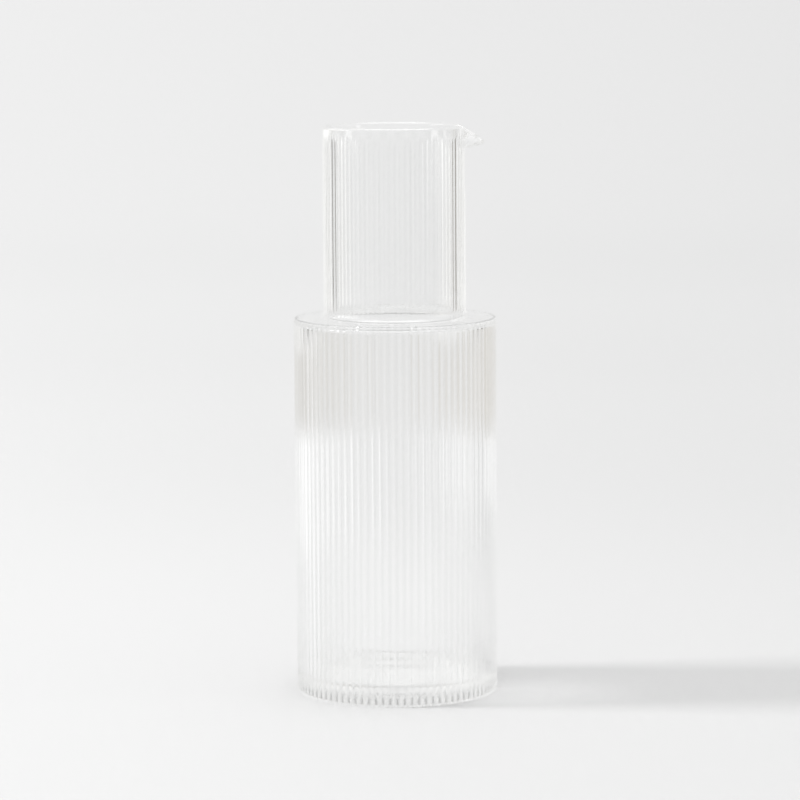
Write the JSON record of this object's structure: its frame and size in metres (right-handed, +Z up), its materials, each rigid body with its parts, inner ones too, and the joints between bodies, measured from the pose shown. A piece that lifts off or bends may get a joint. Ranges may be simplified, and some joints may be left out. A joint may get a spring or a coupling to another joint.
{
  "type": "ribbed glass carafe",
  "caption": "Clear ribbed glass water carafe with a wide straight body, flat shoulder, straight narrower neck and a rim with a pulled pouring lip.",
  "frame": {"origin": "middle of the foot, on the surface that the carafe stands on", "axes": "+Z up the carafe's own axis, +X towards the pouring lip, +Y away from a viewer who has the lip on the right"},
  "size_m": [0.1, 0.1, 0.281],
  "materials": {
    "glass": "clear polished glass with close upright ribs"
  },
  "bodies": {
    "root": {"base_disc": "glass", "body_wall": "glass", "shoulder_ring": "glass", "neck_wall": "glass", "mouth_rim": "glass", "pouring_lip": "glass"}
  },
  "joints": []
}
